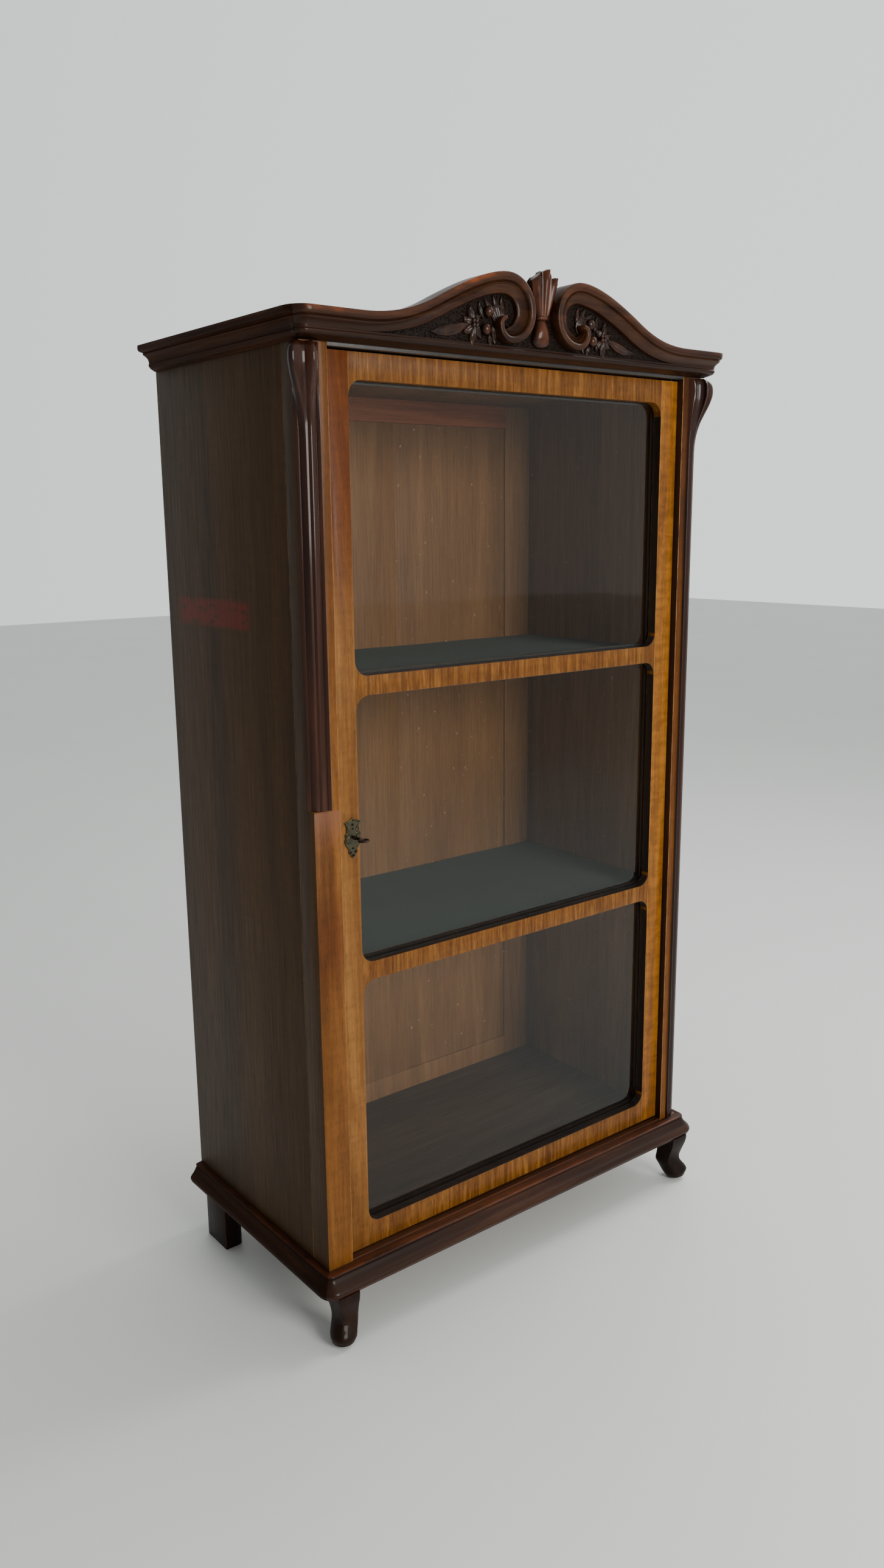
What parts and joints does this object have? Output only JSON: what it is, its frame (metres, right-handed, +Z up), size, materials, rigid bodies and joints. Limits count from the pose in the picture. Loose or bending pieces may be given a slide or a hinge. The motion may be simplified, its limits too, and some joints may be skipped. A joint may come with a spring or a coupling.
{
  "type": "glazed display cabinet",
  "caption": "Tall display cabinet with one glazed door, carved pediment, reeded corner mouldings, felt-covered shelves, cabriole front feet and a lock with its key.",
  "frame": {"origin": "on the floor under the middle of the cabinet's bounding box", "axes": "+Z up, -Y out of the front with the door, +X to the right as seen from the front"},
  "size_m": [0.8574, 0.468, 1.609],
  "materials": {
    "dark_mahogany": "dark glossy polish, worn to orange on edges",
    "golden_veneer": "golden brown figured veneer, satin polish",
    "side_veneer": "dull dark brown veneer",
    "inside_wood": "plain brown stain, matt",
    "green_felt": "thin dark green felt",
    "pane_glass": "clear old window glass",
    "old_brass": "dull aged brass",
    "dark_iron": "dark browned iron"
  },
  "bodies": {
    "case": {"back_muntin": "inside_wood", "back_panel_left": "inside_wood", "back_panel_right": "inside_wood", "back_rail_bottom": "inside_wood", "back_rail_top": "inside_wood", "back_stile_left": "inside_wood", "back_stile_right": "inside_wood", "ceiling_board": "inside_wood", "corner_moulding_left": "dark_mahogany", "corner_moulding_right": "dark_mahogany", "corner_post_left": "golden_veneer", "corner_post_right": "golden_veneer", "cornice_side_left": "dark_mahogany", "cornice_side_right": "dark_mahogany", "floor_board": "inside_wood", "flower_spray_left": "dark_mahogany", "flower_spray_right": "dark_mahogany", "foot_front_left": "dark_mahogany", "foot_front_right": "dark_mahogany", "front_rail": "dark_mahogany", "header_rail": "dark_mahogany", "leg_rear_left": "dark_mahogany", "leg_rear_right": "dark_mahogany", "palmette": "dark_mahogany", "pediment": "dark_mahogany", "pivot_socket_bottom": "dark_iron", "pivot_socket_top": "dark_iron", "plinth_front": "dark_mahogany", "plinth_side_left": "dark_mahogany", "plinth_side_right": "dark_mahogany", "shelf_cleat_lower_left": "inside_wood", "shelf_cleat_lower_right": "inside_wood", "shelf_cleat_upper_left": "inside_wood", "shelf_cleat_upper_right": "inside_wood", "shelf_felt_lower": "green_felt", "shelf_felt_upper": "green_felt", "shelf_lower": "inside_wood", "shelf_upper": "inside_wood", "side_panel_left": "side_veneer", "side_panel_right": "side_veneer", "swan_neck_left": "dark_mahogany", "swan_neck_right": "dark_mahogany"},
    "door": {"door_rail_bottom": "golden_veneer", "door_rail_lower": "golden_veneer", "door_rail_top": "golden_veneer", "door_rail_upper": "golden_veneer", "door_stile_left": "golden_veneer", "door_stile_right": "golden_veneer", "escutcheon": "old_brass", "glass_lower": "pane_glass", "glass_middle": "pane_glass", "glass_upper": "pane_glass", "glazing_bead_lower": "dark_mahogany", "glazing_bead_middle": "dark_mahogany", "glazing_bead_upper": "dark_mahogany", "lock_case": "dark_iron", "pivot_leaf_bottom": "dark_iron", "pivot_leaf_top": "dark_iron"},
    "key": {"key": "dark_iron"},
    "bolt": {"lock_bolt": "dark_iron"}
  },
  "joints": [
    {"name": "door_hinge", "type": "hinge", "parent": "case", "child": "door", "pos_m": [0.3428, -0.173, 0], "axis": [0, 0, 1], "range_deg": [0, 110]},
    {"name": "key_turn", "type": "hinge", "parent": "door", "child": "key", "pos_m": [-0.3283, -0.178, 0.802], "axis": [0, 1, 0], "range_deg": [0, 90]},
    {"name": "bolt_slide", "type": "slide", "parent": "door", "child": "bolt", "axis": [-1, 0, 0], "range_m": [0, 0.0081]}
  ],
  "couplings": [
    {"joint": "bolt_slide", "follows": "key_turn", "m_per_rad": 0.00509}
  ]
}
